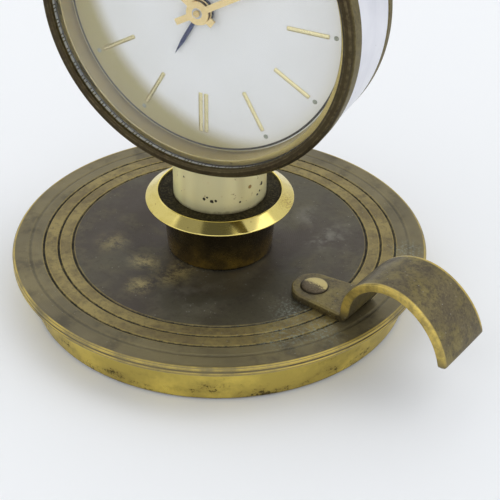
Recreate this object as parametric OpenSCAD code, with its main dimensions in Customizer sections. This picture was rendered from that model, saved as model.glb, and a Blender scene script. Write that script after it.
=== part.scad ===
// Wind-up alarm clock in the form of a chamber candlestick.
// A drum-shaped clock head stands on a candle-like tube, in a cup with a drip collar,
// on a round dish that has a finger strip riveted to it.
// Origin: centre of the underside. +Z is up, the dial faces -Y, the strip points near +X.

/* [Base dish] */
// Radius of the dish's rim
dish_r = 50; // [46:1:54]
// Height of the dish's level outer band above the table
dish_top = 12.5; // [10:0.5:15]
// Thickness of the dish at its rim
dish_t = 2.4; // [1.8:0.1:3]
// Drop of the middle of the dish below that band
dish_drop = 1.3; // [0.8:0.1:1.4]
// Radius of the foot wall at the table
foot_r = 45.7; // [42:0.1:45.9]
// Depth of the turned grooves
groove_depth = 0.45; // [0.2:0.05:0.8]

/* [Handle] */
// Angle of the finger strip from the clock's right-hand side, towards the front
handle_angle = 10.5; // [0:0.5:30]
// Distance of the strip's middle line in front of the dish's centre
handle_front = 4.1; // [0:0.1:6]
// Thickness of the strip
strip_t = 2.0; // [1.6:0.1:2.4]
// Width of the strip round its rivet
root_w = 10.4; // [9:0.1:12]
// Width of the strip where it leaves the dish
bend_w = 12.4; // [12:0.1:13]
// Width of the strip at its tip
tip_w = 16.5; // [14:0.1:18]
// Distance of the rivet along the strip from the dish's centre
rivet_x = 31.3; // [30:0.1:32]
// Distance along the strip to where it rises from the dish
riser_x = 41.8; // [41:0.1:43]
// Outside radius of the arch where it rises
riser_r = 12.7; // [12:0.1:13.5]
// Outside radius of the arch where it falls
fall_r = 17.6; // [16:0.1:19]

/* [Column] */
// Radius of the candle tube
tube_r = 11.04; // [10:0.01:11.04]
// Radius of the cup where it meets the dish
cup_low_r = 12.6; // [12.2:0.1:13]
// Radius of the cup under the collar
cup_high_r = 14.2; // [13:0.1:14.5]
// Height of the cup's top edge
cup_top = 23.6; // [22:0.1:24]
// Radius of the drip collar's sharp edge
collar_r = 17.8; // [16:0.1:19]
// Radius where the collar's bevel ends
collar_flat_r = 15; // [14.5:0.1:15.5]
// Height of the collar's top edge
collar_top = 26.5; // [26:0.1:28]

/* [Clock head] */
// Height of the dial's centre
head_z = 74.8; // [74:0.1:80]
// Radius of the drum
drum_r = 36.8; // [36.8:0.1:37]
// Distance of the dial's face in front of the column's axis
dial_front = 7.5; // [7.5:0.1:8]
// Radius of the dial that can be seen
dial_r = 33.3; // [33:0.1:33.4]
// Length of an hour baton
baton_l = 9.5; // [8:0.5:10]
// Width of an hour baton
baton_w = 0.9; // [0.6:0.1:1.2]

/* [Hidden] */
$fn = 96;
eps = 0.01;

// Colours
brass = [0.66, 0.52, 0.25];
dark_brass = [0.36, 0.28, 0.17];
gilt = [0.86, 0.72, 0.42];
steel = [0.62, 0.63, 0.66];
silver = [0.72, 0.72, 0.76];
blued = [0.16, 0.2, 0.34];

// Base dish
felt_proud = 0.4;
felt_t = 1.4;
foot_t = 1.2;
foot_top_r = foot_r + 0.5;
dish_under = dish_top - dish_t;
dish_floor = dish_top - dish_drop;
slope_high_r = 26;
slope_low_r = 15.5;
edge_groove = 0.3;
edge_step = 0.35;
groove_w = 0.8;
grooves = [35.6, 39.0, 42.5];
faint_groove = 45.7;
faint_depth = 0.15;
weight_r = 26;
weight_well_r = 12;

// Handle
rivet_head_r = 3.25;
rivet_edge_t = 0.12;
rivet_dome_t = 0.6;
rivet_shank_r = 1.6;
rivet_tail_r = 2.4;
rivet_tail_t = 0.7;
rivet_y = -0.8;
rise_at = [riser_x + riser_r, dish_top + 2.5];
join_angle = 67;
tip_angle = 12;

// Column
rod_r = 2;
rod_low = 4.8;
rod_hole_r = 2.1;
washer_r = 5;
washer_t = 0.8;
nut_r = 4;
nut_t = 3.2;
cup_floor = 1.5;
tube_t = 1;
collar_under = 24.55;
collar_bore_r = 11.1;

// Drum, measured along the dial's axis: 0 at the column's axis, positive to the front
drum_in_r = drum_r - 1;
drum_back = -5.6;
drum_front = 9.5;
bezel_r = drum_r + 0.4;
bezel_front = dial_front + 6.5;
lip_r = dial_r + 1.5;
crystal_z = dial_front + 4.1;
crystal_t = 1.2;
crystal_r = 35.2;
rim_back = -8.6;
cover_r = 34.3;
cover_back = -11.6;
cover_t = 1;
dial_t = 0.6;
ledge_t = 0.8;
ledge_r = 33;
saddle_w = 12;
saddle_d = 8;
saddle_t = 4;

// Hands and pipes at the dial's centre, innermost first
centre_r = 0.75;
cannon_r = 1.2;
hour_pipe_r = 1.7;
alarm_pipe_r = 2.2;
fit = 0.05;
hand_t = 0.4;
alarm_hand_z = dial_front + 0.5;
hour_hand_z = dial_front + 1.3;
minute_hand_z = dial_front + 2.1;

// Movement, with heights measured from the rear face of its front plate
plate_z = dial_front - dial_t - 3.7;
plate_t = 1.2;
plate_r = 28;
plate_gap = 7.5;
plate_back = -plate_gap - plate_t;
pivot_r = 0.5;
arbor_r = 0.8;
set_r = 0.8;
motion_d = 10.5;
pinion_leaves = 8;
barrel_teeth = 48;
barrel_m = 0.4;
barrel_d = barrel_m * (barrel_teeth + pinion_leaves) / 2;
barrel_angle = 200;
alarm_offset = 1;
third_m = 0.3;
centre_teeth = 60;
third_angle = 60;
fourth_m = 0.25;
third_teeth = 64;
fourth_angle = 120;
escape_m = 0.22;
fourth_teeth = 64;
escape_angle = 190;
cannon_teeth = 12;
minute_teeth = 36;
minute_leaves = 10;
hour_teeth = 40;
motion_m = motion_d * 2 / (cannon_teeth + minute_teeth);
hour_m = motion_d * 2 / (minute_leaves + hour_teeth);
set_angle = 270;
alarm_set_angle = 120;
star_angle = -60;
escape_teeth = 15;
escape_r = 4;
escape_root_r = 3.1;
star_teeth = 12;
star_r = 3.5;
pallet_d = 5.4;
balance_d = 6.6;
balance_r = 6;
hammer_d = 6.2;
hammer_angle = -20;
hammer_reach = 10.5;
hammer_r = 1.6;
strike_angle = 10;
gong_r = 1.8;
regulator_r = 9;

// Levels [rear, front] of the wheels, in the same measure as the movement's plates
motion_level = [1.4, 2];
minute_leaf_level = [2, 2.75];
hour_level = [2.1, 2.7];
alarm_leaf_level = [2.8, 3.5];
alarm_level = [2.9, 3.4];
barrel_leaf_level = [-4.5, -3];
centre_level = [-2, -1.5];
third_leaf_level = [-2.3, -1.1];
third_level = [-1, -0.5];
fourth_leaf_level = [-1.3, -0.2];
fourth_level = [-2.9, -2.5];
escape_leaf_level = [-3.2, -2.2];
escape_level = [-1.7, -1.3];
barrel_level = [-7.1, -3.3];
barrel_in_r = 8.4;
barrel_t = 0.6;
mainspring_level = [-6.9, -4.1];
hairspring_level = [-2.9, -2.3];
balance_level = [-1.1, -0.4];
star_level = [-2.4, -1.6];
pivot_short = 0.2;
winding_r = 1.5;
bearing_r = 1.6;
pillar_r = 1.6;
pillar_bore = 1;
screw_circle = 30.5;

function polar(r, a) = [r * cos(a), r * sin(a)];

time_at = polar(barrel_d, barrel_angle);
alarm_at = polar(barrel_d + alarm_offset, 180 - barrel_angle);
third_at = polar(third_m * (centre_teeth + pinion_leaves) / 2, third_angle);
fourth_at = third_at + polar(fourth_m * (third_teeth + pinion_leaves) / 2, fourth_angle);
escape_at = fourth_at + polar(escape_m * (fourth_teeth + pinion_leaves) / 2, escape_angle);
pallet_at = escape_at + polar(pallet_d, 200);
balance_at = pallet_at + polar(balance_d, 235);
set_at = polar(motion_d, set_angle);
alarm_set_at = polar(motion_d, alarm_set_angle);
star_at = alarm_at + polar(barrel_d, star_angle);
hammer_at = star_at + polar(hammer_d, 205);
strike_at = hammer_at + polar(hammer_reach, hammer_angle - strike_angle);
gong_at = strike_at + polar(hammer_r + gong_r + 0.1, hammer_angle - strike_angle - 90);
plunger_at = [16, 12];
pillars = [for (a = [38, 95, 182, 248, 292, 352]) polar(25.4, a)];
cover_screw_angles = [45, 165, 285];
lug_angles = [90, 210, 330];

// Places that are shared by several sub-parts
module head() translate([0, 0, head_z]) rotate([90, 0, 0]) children();
module works() head() translate([0, 0, plate_z]) children();
module at(place, z = 0) translate([place[0], place[1], z]) children();
module handle_frame() rotate([0, 0, -handle_angle]) translate([0, -handle_front, 0]) children();

// Disc or rod that runs from height z0 to z1
module rod(r, z0, z1) translate([0, 0, z0]) cylinder(r = r, h = z1 - z0);

module ring(r_out, r_in, z0, z1) {
    difference() {
        rod(r_out, z0, z1);
        rod(r_in, z0 - 1, z1 + 1);
    }
}

// Slice between two levels, cut to the outline of its children
module slab(level) translate([0, 0, level[0]]) linear_extrude(level[1] - level[0]) children();

// Toothed outline: straight-sided teeth, one of them centred on the angle phase
function teeth(n, r_tip, r_root, tip_part, root_part, phase) = [
    for (i = [0 : n - 1])
        for (corner = [[r_root, -root_part], [r_tip, -tip_part], [r_tip, tip_part], [r_root, root_part]])
            polar(corner[0], phase + (i + corner[1] / 2) * 360 / n)
];

module wheel(n, m, level, phase, bore = 0, holes = 5) {
    r = n * m / 2;
    difference() {
        slab(level) polygon(teeth(n, r + 0.7 * m, r - 1.1 * m, 0.2, 0.46, phase));
        if (bore > 0) rod(bore, level[0] - 1, level[1] + 1);
        if (holes > 0)
            for (i = [0 : holes - 1])
                at(polar(r * 0.55, 360 * i / holes)) rod(r * 0.22, level[0] - 1, level[1] + 1);
    }
}

module pinion(n, m, level, phase) {
    r = n * m / 2;
    slab(level) polygon(teeth(n, r + 0.5 * m, r - 1.15 * m, 0.2, 0.36, phase));
}

// Thin arbor that runs in both plates
module pivots() rod(pivot_r, plate_back + pivot_short, plate_t - pivot_short);

// Phase of a pinion that meshes with a wheel whose tooth points at it along angle a
function gap_phase(a, n) = a + 180 + 180 / n;

// Flat spiral strip between two radii
module spiral(r_in, r_out, turns, thick, level) {
    steps = turns * 18;
    function run(i, side) = polar(r_in + (r_out - r_in) * i / steps + side * thick / 2, i * 20);
    slab(level) polygon(concat([for (i = [0 : steps]) run(i, 1)], [for (i = [steps : -1 : 0]) run(i, -1)]));
}

// Slotted screw head with a shank behind it, pointing along -Z from height z
module screw(r, head_t, shank_r, shank_l, z) {
    difference() {
        rod(r, z, z + head_t);
        translate([-r - 1, -r * 0.12, z + head_t * 0.5]) cube([2 * r + 2, r * 0.24, head_t]);
    }
    rod(shank_r, z - shank_l, z + eps);
}

// ---- Base ----

module groove(r, depth) {
    polygon([[r - groove_w / 2, dish_top + eps], [r, dish_top - depth], [r + groove_w / 2, dish_top + eps]]);
}

// Points of the shallow slope from the level band down to the middle of the dish
function slope(steps) = [for (k = [0 : steps]) [slope_high_r - (slope_high_r - slope_low_r) * k / steps,
    dish_top - dish_drop * (1 - cos(180 * k / steps)) / 2]];

module base_plate() {
    color(dark_brass)
        difference() {
            rotate_extrude($fn = 180)
                difference() {
                    polygon(concat([[0, dish_under], [foot_top_r, dish_under], [dish_r - edge_step, dish_under],
                        [dish_r, dish_under + edge_step],
                        [dish_r, dish_under + dish_t / 2 - edge_groove],
                        [dish_r - edge_groove, dish_under + dish_t / 2],
                        [dish_r, dish_under + dish_t / 2 + edge_groove],
                        [dish_r, dish_top - edge_step], [dish_r - edge_step, dish_top]],
                        slope(8), [[0, dish_floor]]));
                    for (r = grooves) groove(r, groove_depth);
                    groove(faint_groove, faint_depth);
                }
            rod(rod_hole_r, 0, dish_top + 1);
            handle_frame() at([rivet_x, rivet_y]) rod(rivet_shank_r, 0, dish_top + 1);
        }
}

module foot_ring() {
    color(brass)
        rotate_extrude($fn = 180)
            polygon([[foot_r - foot_t, felt_proud], [foot_r, felt_proud], [foot_top_r, dish_under],
                [foot_r - foot_t, dish_under]]);
}

module base_weight() {
    color([0.25, 0.25, 0.27]) ring(weight_r, weight_well_r, felt_t, dish_under);
}

module base_felt() {
    color([0.12, 0.2, 0.14]) rod(foot_r - foot_t, 0, felt_t);
}

// ---- Handle ----

fall_at = rise_at - polar(fall_r - riser_r, join_angle);

// Part of a round bend in the strip, between two angles
module bend(centre, r, low, high) {
    reach = 2 * r;
    intersection() {
        translate(centre)
            difference() {
                circle(r = r, $fn = 120);
                circle(r = r - strip_t, $fn = 120);
            }
        translate(centre)
            polygon([[0, 0], polar(reach, low), polar(reach, (2 * low + high) / 3),
                polar(reach, (low + 2 * high) / 3), polar(reach, high)]);
    }
}

// Outline of the bent strip, seen from its side: flat root, rise, fall
module strip_side() {
    intersection() {
        union() {
            translate([0, dish_top]) square([riser_x + strip_t / 2, strip_t]);
            bend(rise_at, riser_r, join_angle, 195);
            bend(fall_at, fall_r, tip_angle, join_angle);
        }
        translate([0, dish_top]) square([riser_x + 2 * fall_r, 2 * fall_r]);
    }
}

// Outline of the strip seen from above: rounded root, widening to the tip
module strip_plan() {
    x_tip = rise_at[0] + fall_r;
    translate([rivet_x, rivet_y]) circle(r = root_w / 2, $fn = 64);
    polygon([[rivet_x, rivet_y - root_w / 2], [riser_x, -bend_w / 2], [x_tip, -tip_w / 2],
        [x_tip, tip_w / 2], [riser_x, bend_w / 2], [rivet_x, rivet_y + root_w / 2]]);
}

module handle_strip() {
    color(brass)
        handle_frame()
            difference() {
                intersection() {
                    translate([0, tip_w, 0]) rotate([90, 0, 0]) linear_extrude(2 * tip_w) strip_side();
                    linear_extrude(dish_top + 2 * fall_r) strip_plan();
                }
                at([rivet_x, rivet_y]) rod(rivet_shank_r, 0, dish_top + strip_t + 1);
            }
}

module handle_rivet() {
    top = dish_top + strip_t;
    edge = top + rivet_edge_t;
    color(brass)
        handle_frame()
            at([rivet_x, rivet_y]) {
                rotate_extrude()
                    polygon(concat([[0, top], [rivet_head_r, top]],
                        [for (a = [0 : 15 : 90])
                            [rivet_head_r * cos(a), edge + (rivet_dome_t - rivet_edge_t) * sin(a)]]));
                rod(rivet_shank_r, dish_under, top);
                rod(rivet_tail_r, dish_under - rivet_tail_t, dish_under);
            }
}

// ---- Column ----

module candle_cup() {
    color(dark_brass)
        rotate_extrude()
            polygon([[rod_hole_r, dish_floor], [cup_low_r, dish_floor], [cup_high_r, cup_top],
                [collar_bore_r, cup_top], [collar_bore_r, dish_floor + cup_floor],
                [rod_hole_r, dish_floor + cup_floor]]);
}

module drip_collar() {
    color([0.82, 0.68, 0.34])
        rotate_extrude()
            polygon([[collar_bore_r, cup_top], [cup_high_r + 1.2, cup_top], [collar_r, collar_under],
                [collar_flat_r, collar_top], [collar_flat_r - 0.5, collar_top - 0.3],
                [collar_bore_r, collar_top - 0.3]]);
}

module candle_tube() {
    color([0.8, 0.76, 0.62])
        difference() {
            rod(tube_r, dish_floor + cup_floor, head_z - drum_r + 4);
            rod(tube_r - tube_t, dish_floor, head_z);
            head() rod(drum_r, -tube_r - 1, tube_r + 1);
            head() rod(bezel_r, drum_front, tube_r + 1);
        }
}

module tie_rod() {
    color(steel) rod(rod_r, rod_low, head_z - drum_in_r + saddle_t - 0.5);
}

module tie_washer() {
    color(steel) ring(washer_r, rod_hole_r, dish_under - washer_t, dish_under);
}

module tie_nut() {
    top = dish_under - washer_t;
    color(steel)
        difference() {
            translate([0, 0, top - nut_t]) cylinder(r = nut_r, h = nut_t, $fn = 6);
            rod(rod_r, top - nut_t - 1, top + 1);
        }
}

module head_saddle() {
    color(brass)
        difference() {
            intersection() {
                translate([-saddle_w / 2, -saddle_d / 2, head_z - drum_r])
                    cube([saddle_w, saddle_d, saddle_t + 1]);
                head() rod(drum_in_r, -saddle_d, saddle_d);
            }
            rod(rod_r, 0, head_z);
        }
}

// ---- Drum ----

module drum_case() {
    dial_back = dial_front - dial_t;
    color(silver)
        difference() {
            head()
                rotate_extrude($fn = 180)
                    polygon([[drum_in_r, drum_back], [drum_r, drum_back], [drum_r, drum_front],
                        [drum_in_r, drum_front], [drum_in_r, dial_back], [ledge_r, dial_back],
                        [ledge_r, dial_back - ledge_t], [drum_in_r, dial_back - ledge_t]]);
            rod(rod_hole_r, 0, head_z);
        }
}

module front_bezel() {
    color(dark_brass)
        head()
            rotate_extrude($fn = 180)
                polygon([[drum_in_r, drum_front], [bezel_r, drum_front], [bezel_r, bezel_front - 1.2],
                    [bezel_r - 0.35, bezel_front - 0.4], [bezel_r - 1, bezel_front],
                    [lip_r + 0.6, bezel_front], [lip_r, bezel_front - 0.6],
                    [lip_r, crystal_z + crystal_t], [crystal_r, crystal_z + crystal_t],
                    [crystal_r, crystal_z], [crystal_r, drum_front]]);
}

module rear_rim() {
    color(dark_brass)
        head()
            rotate_extrude($fn = 180)
                polygon([[cover_r, rim_back], [drum_r - 0.6, rim_back], [drum_r, rim_back + 0.6],
                    [drum_r, drum_back], [cover_r, drum_back]]);
}

module crystal() {
    color([0.85, 0.9, 0.9, 0.3])
        head() rotate_extrude($fn = 180) translate([0, crystal_z]) square([crystal_r, crystal_t]);
}

module rehaut_ring() {
    color(gilt)
        head()
            rotate_extrude($fn = 180)
                translate([dial_r, dial_front]) square([1.5, crystal_z - dial_front]);
}

module dial_plate() {
    color([0.86, 0.86, 0.84])
        head()
            difference() {
                rod(crystal_r - 0.4, dial_front - dial_t, dial_front);
                rod(alarm_pipe_r + 0.4, 0, dial_front + 1);
            }
}

module hour_batons() {
    far_r = 29.3;
    color(gilt)
        head()
            for (hour = [1 : 12])
                for (side = (hour % 6 == 0) ? [-0.7, 0.7] : [0])
                    rotate([0, 0, -30 * hour])
                        translate([side - baton_w / 2, far_r - baton_l, dial_front])
                            cube([baton_w, baton_l, 0.35]);
}

module lume_dots() {
    color([0.5, 0.55, 0.45])
        head()
            for (hour = [1 : 12])
                if (hour % 6 != 0)
                    rotate([0, 0, -30 * hour])
                        translate([0, 30.8, 0])
                            rod(0.55, dial_front, dial_front + 0.15);
}

// ---- Hands ----

// Tapered hand with a round boss, pointing at an angle clockwise from the top
module hand(length, tail, wide, boss_r, bore_r, z, turn) {
    head()
        translate([0, 0, z])
            rotate([0, 0, -turn])
                difference() {
                    union() {
                        linear_extrude(hand_t)
                            polygon([[-wide / 2, -tail], [wide / 2, -tail], [wide / 2, length * 0.7],
                                [0, length], [-wide / 2, length * 0.7]]);
                        rod(boss_r, 0, hand_t);
                    }
                    rod(bore_r, -1, hand_t + 1);
                }
}

module hour_hand() color(gilt) hand(19, 4, 1.8, 2.9, hour_pipe_r, hour_hand_z, 305);
module minute_hand() color(gilt) hand(28, 6, 1.4, 2.6, cannon_r, minute_hand_z, 60);
module alarm_hand() color(blued) hand(13, 3, 0.9, 3, alarm_pipe_r, alarm_hand_z, 210);

// ---- Motion work, under the dial ----

module cannon_pinion() {
    color(steel)
        works()
            difference() {
                union() {
                    pinion(cannon_teeth, motion_m, motion_level, gap_phase(set_angle + 180, cannon_teeth));
                    rod(cannon_r, motion_level[1] - eps, minute_hand_z + hand_t - plate_z);
                }
                rod(centre_r, 0, 12);
            }
}

module hour_wheel() {
    color(brass)
        works()
            difference() {
                union() {
                    wheel(hour_teeth, hour_m, hour_level, set_angle, 0);
                    rod(hour_pipe_r, hour_level[0], hour_hand_z + hand_t - plate_z);
                }
                rod(cannon_r + fit, 0, 12);
            }
}

module alarm_wheel() {
    color(brass)
        works()
            difference() {
                union() {
                    wheel(minute_teeth, motion_m, alarm_level, alarm_set_angle, 0);
                    rod(alarm_pipe_r, alarm_level[0], alarm_hand_z + hand_t - plate_z);
                }
                rod(hour_pipe_r + fit, 0, 12);
            }
}

// Arbor that carries the minute wheel and its pinion, and takes the setting knob behind
module time_set_arbor() {
    color(brass)
        works()
            at(set_at) {
                rod(set_r, cover_back - plate_z - 3.2, motion_level[0]);
                wheel(minute_teeth, motion_m, motion_level, set_angle + 180);
                pinion(minute_leaves, hour_m, minute_leaf_level, gap_phase(set_angle, minute_leaves));
            }
}

module alarm_set_arbor() {
    color(steel)
        works()
            at(alarm_set_at) {
                rod(set_r, cover_back - plate_z - 3.2, alarm_leaf_level[0]);
                pinion(cannon_teeth, motion_m, alarm_leaf_level, gap_phase(alarm_set_angle, cannon_teeth));
            }
}

// ---- Movement frame ----

module pivot_holes(z0, z1) {
    for (p = [third_at, fourth_at, escape_at, pallet_at, star_at, hammer_at])
        at(p) rod(pivot_r + fit, z0, z1);
    for (p = [set_at, alarm_set_at]) at(p) rod(set_r + fit, z0, z1);
    for (p = pillars) at(p) rod(pillar_bore, z0, z1);
}

module front_plate() {
    color(brass)
        works()
            difference() {
                union() {
                    rod(plate_r, 0, plate_t);
                    intersection() {
                        for (a = lug_angles)
                            rotate([0, 0, a]) translate([plate_r - 2, -3, 0]) cube([12, 6, plate_t]);
                        rod(drum_in_r, 0, plate_t);
                    }
                }
                rod(centre_r + fit, -1, 5);
                at(time_at) rod(arbor_r + fit, -1, 5);
                at(alarm_at) rod(arbor_r + fit, -1, 5);
                at(balance_at) rod(pivot_r + fit, -1, 5);
                pivot_holes(-1, 5);
            }
}

module back_plate() {
    low = plate_back - 1;
    color(brass)
        works()
            difference() {
                rod(plate_r, plate_back, -plate_gap);
                rod(pivot_r + fit, low, 0);
                at(time_at) rod(winding_r + fit, low, 0);
                at(alarm_at) rod(winding_r + fit, low, 0);
                at(balance_at) rod(bearing_r, low, 0);
                pivot_holes(low, 0);
            }
}

module plate_pillars() {
    color(brass) works() for (p = pillars) at(p) ring(pillar_r, pillar_bore, -plate_gap, 0);
}

module plate_screws() {
    color(steel)
        works()
            for (p = pillars)
                at(p) {
                    screw(1.8, 0.7, pillar_bore, plate_gap / 2 + plate_t, plate_t);
                    translate([0, 0, plate_back])
                        rotate([180, 0, 0])
                            screw(1.8, 0.7, pillar_bore, plate_gap / 2 + plate_t - 1, 0);
                }
}

// ---- Going train ----

module centre_wheel() {
    color(brass)
        works() {
            rod(pivot_r, plate_back + pivot_short, -plate_gap + 0.6);
            rod(centre_r, -plate_gap + 0.6, minute_hand_z + hand_t - plate_z + 0.4);
            pinion(pinion_leaves, barrel_m, barrel_leaf_level, gap_phase(barrel_angle, pinion_leaves));
            wheel(centre_teeth, third_m, centre_level, third_angle);
        }
}

module third_wheel() {
    color(brass)
        works()
            at(third_at) {
                pivots();
                pinion(pinion_leaves, third_m, third_leaf_level, gap_phase(third_angle, pinion_leaves));
                wheel(third_teeth, fourth_m, third_level, fourth_angle);
            }
}

module fourth_wheel() {
    color(brass)
        works()
            at(fourth_at) {
                pivots();
                pinion(pinion_leaves, fourth_m, fourth_leaf_level, gap_phase(fourth_angle, pinion_leaves));
                wheel(fourth_teeth, escape_m, fourth_level, escape_angle);
            }
}

module escape_wheel() {
    color(steel)
        works()
            at(escape_at) {
                pivots();
                pinion(pinion_leaves, escape_m, escape_leaf_level, gap_phase(escape_angle, pinion_leaves));
                slab(escape_level)
                    polygon([for (i = [0 : escape_teeth - 1])
                        for (corner = [[escape_root_r, 0], [escape_r, 4], [escape_root_r, 10]])
                            polar(corner[0], i * 360 / escape_teeth + corner[1])]);
            }
}

module pallet_lever() {
    span = 3;
    color(steel)
        works()
            at(pallet_at) {
                pivots();
                rotate([0, 0, 20])
                    slab(escape_level)
                        polygon([[0.9, -span], [1.9, -span], [0.9, 0], [1.9, span], [0.9, span],
                            [-0.9, 0.9], [-0.9, -0.9]]);
                rotate([0, 0, 235])
                    slab(escape_level)
                        translate([0, -0.35])
                            square([balance_d - 1.9, 0.7]);
            }
}

module balance_wheel() {
    color(gilt)
        works()
            at(balance_at) {
                rod(pivot_r, -plate_gap - 0.2, plate_t - pivot_short);
                ring(balance_r, balance_r - 0.9, balance_level[0], balance_level[1]);
                translate([-balance_r + 0.5, -0.5, balance_level[0] + 0.1]) cube([2 * balance_r - 1, 1, 0.5]);
            }
}

module hairspring() {
    color(blued) works() at(balance_at) spiral(0.95, 3.8, 5, 0.14, hairspring_level);
}

module balance_bearing() {
    color(steel)
        works()
            at(balance_at)
                difference() {
                    union() {
                        rod(bearing_r, plate_back - 1.2, -plate_gap);
                        rod(2.4, plate_back - 1.8, plate_back - 1.2);
                    }
                    rod(pivot_r + fit, plate_back + 0.8, 0);
                }
}

// ---- Springs, barrels and winding ----

module barrel(phase) {
    front = barrel_level[1];
    ring(barrel_in_r + barrel_t, barrel_in_r, barrel_level[0], front);
    difference() {
        wheel(barrel_teeth, barrel_m, [front - 0.8, front], phase, arbor_r + fit, 0);
        rod(barrel_in_r, front - 0.8 - eps, front - 0.5);
    }
}

module winding_arbor() {
    rod(arbor_r, -plate_gap, plate_t);
    rod(winding_r, cover_back - plate_z - 2.6, -plate_gap);
    ring(2, arbor_r, mainspring_level[0], mainspring_level[1] + 0.1);
}

module mainspring() spiral(2.5, barrel_in_r - 0.3, 6, 0.35, mainspring_level);

module time_barrel() color(brass) works() at(time_at) barrel(barrel_angle + 180);
module alarm_barrel() color(brass) works() at(alarm_at) barrel(star_angle);
module time_arbor() color(steel) works() at(time_at) winding_arbor();
module alarm_arbor() color(steel) works() at(alarm_at) winding_arbor();
module time_mainspring() color(blued) works() at(time_at) mainspring();
module alarm_mainspring() color(blued) works() at(alarm_at) mainspring();

// ---- Alarm work ----

module alarm_star_wheel() {
    color(steel)
        works()
            at(star_at) {
                pivots();
                pinion(pinion_leaves, barrel_m, barrel_leaf_level, gap_phase(star_angle, pinion_leaves));
                slab(star_level) polygon(teeth(star_teeth, star_r, star_r - 0.9, 0.15, 0.6, 0));
            }
}

module alarm_hammer() {
    arm_z = plate_back - 1.4;
    color(steel)
        works()
            at(hammer_at) {
                rod(pivot_r, plate_back - 0.7, plate_t - pivot_short);
                rotate([0, 0, 25])
                    slab(star_level)
                        translate([-0.9, -0.5])
                            square([2.8, 1]);
                rod(1.2, arm_z, arm_z + 0.8);
                rotate([0, 0, hammer_angle]) {
                    translate([0, -0.6, arm_z]) cube([hammer_reach, 1.2, 0.8]);
                    translate([hammer_reach, 0, 0]) rod(hammer_r, arm_z - 0.8, arm_z + 1);
                }
            }
}

// Stud on the inside of the rear cover, which the hammer makes ring
module gong_stud() {
    color(brass) head() at(gong_at) rod(gong_r, cover_back + cover_t, cover_back + 5.6);
}

// ---- Rear: cover, keys, knobs ----

module rear_cover() {
    z = cover_back;
    color(silver)
        head()
            difference() {
                rotate_extrude($fn = 180)
                    polygon([[0, z], [cover_r - 0.8, z], [cover_r, z + 0.8], [cover_r, drum_back],
                        [cover_r - cover_t, drum_back], [cover_r - cover_t, z + cover_t],
                        [0, z + cover_t]]);
                for (p = [time_at, alarm_at]) at(p) rod(1.9, z - 1, 0);
                for (p = [set_at, alarm_set_at]) at(p) rod(1.1, z - 1, 0);
                at(plunger_at) rod(1.3, z - 1, 0);
                for (a = cover_screw_angles) at(polar(screw_circle, a)) rod(1, z - 1, 0);
                at(balance_at)
                    translate([0, 0, z - 1])
                        rotate([0, 0, 110])
                            rotate_extrude(angle = 50)
                                translate([regulator_r - 1.1, 0]) square([2.2, 3]);
            }
}

module cover_screws() {
    color(steel)
        head()
            for (a = cover_screw_angles)
                at(polar(screw_circle, a), cover_back) rotate([180, 0, 0]) screw(1.9, 0.8, 1, 3, 0);
}

// Winged winding key on a square-cut sleeve
module key() {
    z = cover_back;
    sleeve_r = 2.6;
    wing_x = 4.6;
    wing_z = z - 6.4;
    color(gilt) {
        ring(sleeve_r, winding_r, z - 3.4, z - 0.4);
        rod(sleeve_r, z - 4.2, z - 3.4);
        difference() {
            union() {
                for (side = [-1, 1])
                    translate([side * wing_x, 0, wing_z])
                        rotate([90, 0, 0])
                            cylinder(r = 3.2, h = 1, center = true, $fn = 48);
                translate([-wing_x, -0.5, z - 8.2]) cube([2 * wing_x, 1, 4]);
            }
            for (side = [-1, 1])
                translate([side * wing_x, 0, wing_z])
                    rotate([90, 0, 0])
                        cylinder(r = 1.3, h = 3, center = true, $fn = 48);
        }
    }
}

module time_key() head() at(time_at) rotate([0, 0, 62]) key();
module alarm_key() head() at(alarm_at) rotate([0, 0, 118]) key();

// Fluted setting knob
module knob(r) {
    flutes = 24;
    z = cover_back;
    color(gilt)
        difference() {
            translate([0, 0, z - 4])
                linear_extrude(3.4) polygon(teeth(flutes, r, r - 0.25, 0.4, 0.6, 0));
            rod(set_r, z - 3.2, z);
        }
}

module time_set_knob() head() at(set_at) knob(3.2);
module alarm_set_knob() head() at(alarm_set_at) knob(2.7);

module regulator_lever() {
    z = plate_back - 0.9;
    color(steel)
        works()
            at(balance_at)
                difference() {
                    union() {
                        rod(2.6, z, z + 0.6);
                        rotate([0, 0, 135]) {
                            translate([0, -0.7, z]) cube([regulator_r, 1.4, 0.6]);
                            translate([regulator_r, 0, 0]) rod(0.7, cover_back - plate_z - 1.4, z + 0.6);
                        }
                    }
                    rod(bearing_r + fit, z - 1, z + 1);
                }
}

module alarm_stop_plunger() {
    z = cover_back;
    color(gilt)
        head()
            at(plunger_at) {
                rod(1, z - 2, z + 4);
                rod(2.3, z - 3.4, z - 1.6);
                rod(1.8, z + 4, z + 4.6);
            }
}

base_plate();
foot_ring();
base_weight();
base_felt();
handle_strip();
handle_rivet();
candle_cup();
drip_collar();
candle_tube();
tie_rod();
tie_nut();
tie_washer();
head_saddle();
drum_case();
front_bezel();
rear_rim();
crystal();
rehaut_ring();
dial_plate();
hour_batons();
lume_dots();
hour_hand();
minute_hand();
alarm_hand();
cannon_pinion();
hour_wheel();
alarm_wheel();
time_set_arbor();
front_plate();
back_plate();
plate_pillars();
plate_screws();
centre_wheel();
third_wheel();
fourth_wheel();
escape_wheel();
pallet_lever();
balance_wheel();
hairspring();
balance_bearing();
time_barrel();
time_mainspring();
time_arbor();
alarm_barrel();
alarm_mainspring();
alarm_arbor();
alarm_star_wheel();
alarm_hammer();
gong_stud();
alarm_set_arbor();
time_set_knob();
alarm_set_knob();
time_key();
alarm_key();
rear_cover();
cover_screws();
regulator_lever();
alarm_stop_plunger();
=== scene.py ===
"""Brass candlestick alarm clock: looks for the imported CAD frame. Metres, +Z up, dial faces -Y."""
import math

import bpy
from mathutils import Matrix, Vector


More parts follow.
